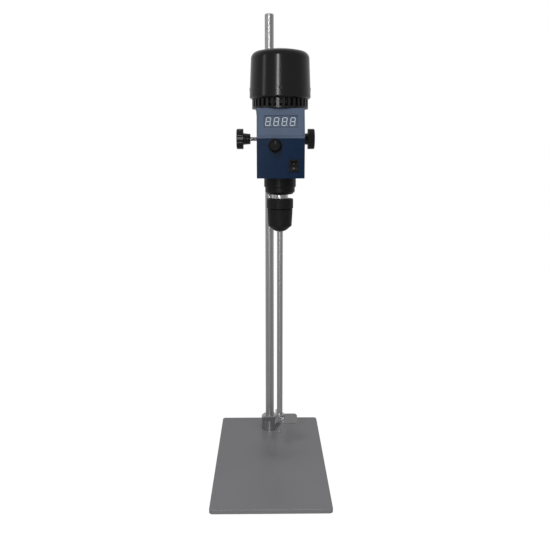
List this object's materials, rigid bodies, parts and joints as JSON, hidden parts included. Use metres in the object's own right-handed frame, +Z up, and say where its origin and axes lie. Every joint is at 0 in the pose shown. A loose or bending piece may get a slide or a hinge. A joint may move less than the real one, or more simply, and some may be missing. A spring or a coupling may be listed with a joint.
{
  "type": "overhead stirrer",
  "caption": "Bench overhead stirrer on a plate stand: clamped motor head with display, dial and rocker, keyless chuck, shaft and pitched-blade propeller.",
  "frame": {"origin": "centre of the base plate's footprint, on the bench under its feet", "axes": "+Z up along the support rod, +X to the right as seen from the front, +Y to the back"},
  "size_m": [0.156, 0.29, 0.641],
  "materials": {
    "plate_paint": "satin powder coat, mid grey",
    "foot_rubber": "matte",
    "bright_rod": "ground and polished steel",
    "stand_steel": "turned",
    "screw_steel": "zinc plated",
    "boss_casting": "cast and blasted",
    "knob_plastic": "moulded, satin",
    "box_paint": "navy enamel, satin",
    "display_face": "grey-blue lens plate",
    "display_block": "smoked window with pale segments",
    "board_laminate": "solder-masked laminate",
    "switch_plastic": "moulded",
    "gland_plastic": "moulded nylon",
    "part_metal": "machined",
    "cap_plastic": "semi-gloss moulding",
    "vent_plastic": "moulded",
    "core_steel": "laminated",
    "bearing_steel": "ground",
    "encoder_sheet": "black anodised",
    "nose_black": "black, satin",
    "spindle_chrome": "polished",
    "chuck_black": "black oxide, satin",
    "jaw_steel": "hardened, ground",
    "propeller_steel": "stainless, polished"
  },
  "bodies": {
    "base": {"base_plate": "plate_paint", "plate_feet": "foot_rubber", "rod_foot_bolt": "screw_steel", "rod_socket": "stand_steel", "socket_set_screw": "screw_steel"},
    "mast": {"support_rod": "bright_rod"},
    "boss": {"boss_head": "boss_casting"},
    "rod_clamp": {"rod_clamp_knob": "knob_plastic", "rod_clamp_screw": "screw_steel"},
    "arm_clamp": {"arm_clamp_knob": "knob_plastic", "arm_clamp_screw": "screw_steel"},
    "arm": {"support_arm": "bright_rod", "arm_lock_nut": "screw_steel"},
    "head": {"control_box": "box_paint", "rear_cover": "box_paint", "rear_cover_screws": "screw_steel", "cable_gland": "gland_plastic", "gland_nut": "gland_plastic", "display_panel": "display_face", "led_display": "display_block", "display_board": "board_laminate", "dial_nut": "screw_steel", "potentiometer": "part_metal", "rocker_bezel": "switch_plastic", "motor_flange": "part_metal", "vent_ring": "vent_plastic", "motor_cap": "cap_plastic", "cap_screws": "screw_steel", "motor_can": "part_metal", "stator": "core_steel", "motor_top_bearing": "bearing_steel", "motor_lower_bearing": "bearing_steel", "encoder_sensor": "vent_plastic", "nose_housing": "nose_black", "nose_nut": "part_metal", "spindle_lower_bearing": "bearing_steel", "spindle_upper_bearing": "bearing_steel"},
    "dial": {"speed_knob": "knob_plastic", "dial_shaft": "screw_steel"},
    "switch_key": {"rocker": "switch_plastic"},
    "drive": {"rotor": "core_steel", "cooling_fan": "vent_plastic", "encoder_disc": "encoder_sheet", "shaft_coupling": "part_metal", "spindle": "spindle_chrome", "chuck_body": "chuck_black", "chuck_collar": "chuck_black"},
    "sleeve": {"chuck_sleeve": "chuck_black", "chuck_nut": "chuck_black"},
    "jaw_a": {"jaw_1": "jaw_steel"},
    "jaw_b": {"jaw_2": "jaw_steel"},
    "jaw_c": {"jaw_3": "jaw_steel"},
    "stirrer": {"stirring_shaft": "bright_rod", "propeller": "propeller_steel", "propeller_set_screw": "screw_steel"}
  },
  "joints": [
    {"name": "rod_swivel", "type": "hinge", "parent": "base", "child": "mast", "pos_m": [0, 0.103, 0.3], "axis": [0, 0, 1], "continuous": true},
    {"name": "head_height", "type": "slide", "parent": "mast", "child": "boss", "axis": [0, 0, 1], "range_m": [-0.02, 0.14]},
    {"name": "rod_clamp_turn", "type": "hinge", "parent": "boss", "child": "rod_clamp", "pos_m": [-0.03, 0.103, 0.465], "axis": [-1, 0, 0], "range_deg": [0, 720]},
    {"name": "arm_clamp_turn", "type": "hinge", "parent": "boss", "child": "arm_clamp", "pos_m": [0.045, 0.103, 0.465], "axis": [1, 0, 0], "range_deg": [0, 720]},
    {"name": "arm_reach", "type": "slide", "parent": "boss", "child": "arm", "axis": [0, 1, 0], "range_m": [-0.022, 0.025]},
    {"name": "head_tilt", "type": "hinge", "parent": "arm", "child": "head", "pos_m": [0.0135, 0.034, 0.465], "axis": [0, 1, 0], "range_deg": [-90, 90]},
    {"name": "speed_dial", "type": "hinge", "parent": "head", "child": "dial", "pos_m": [0.0063, -0.057, 0.455], "axis": [0, 1, 0], "range_deg": [0, 300]},
    {"name": "power_rocker", "type": "hinge", "parent": "head", "child": "switch_key", "pos_m": [0.0301, -0.0506, 0.43], "axis": [-1, 0, 0], "range_deg": [0, 20]},
    {"name": "spindle_spin", "type": "hinge", "parent": "head", "child": "drive", "pos_m": [0.0135, -0.007, 0.42], "axis": [0, 0, 1], "continuous": true},
    {"name": "chuck_turn", "type": "hinge", "parent": "drive", "child": "sleeve", "pos_m": [0.0135, -0.007, 0.36], "axis": [0, 0, -1], "range_deg": [0, 540]},
    {"name": "shaft_height", "type": "slide", "parent": "drive", "child": "stirrer", "axis": [0, 0, 1], "range_m": [-0.015, 0.02]},
    {"name": "jaw_a_grip", "type": "slide", "parent": "drive", "child": "jaw_a", "axis": [0, -0.225, 0.9744], "range_m": [0, 0.0039]},
    {"name": "jaw_b_grip", "type": "slide", "parent": "drive", "child": "jaw_b", "axis": [0.1948, 0.1125, 0.9744], "range_m": [0, 0.0039]},
    {"name": "jaw_c_grip", "type": "slide", "parent": "drive", "child": "jaw_c", "axis": [-0.1948, 0.1125, 0.9744], "range_m": [0, 0.0039]}
  ],
  "couplings": [
    {"joint": "jaw_a_grip", "follows": "chuck_turn", "m_per_rad": 0.0004138},
    {"joint": "jaw_b_grip", "follows": "chuck_turn", "m_per_rad": 0.0004138},
    {"joint": "jaw_c_grip", "follows": "chuck_turn", "m_per_rad": 0.0004138}
  ]
}
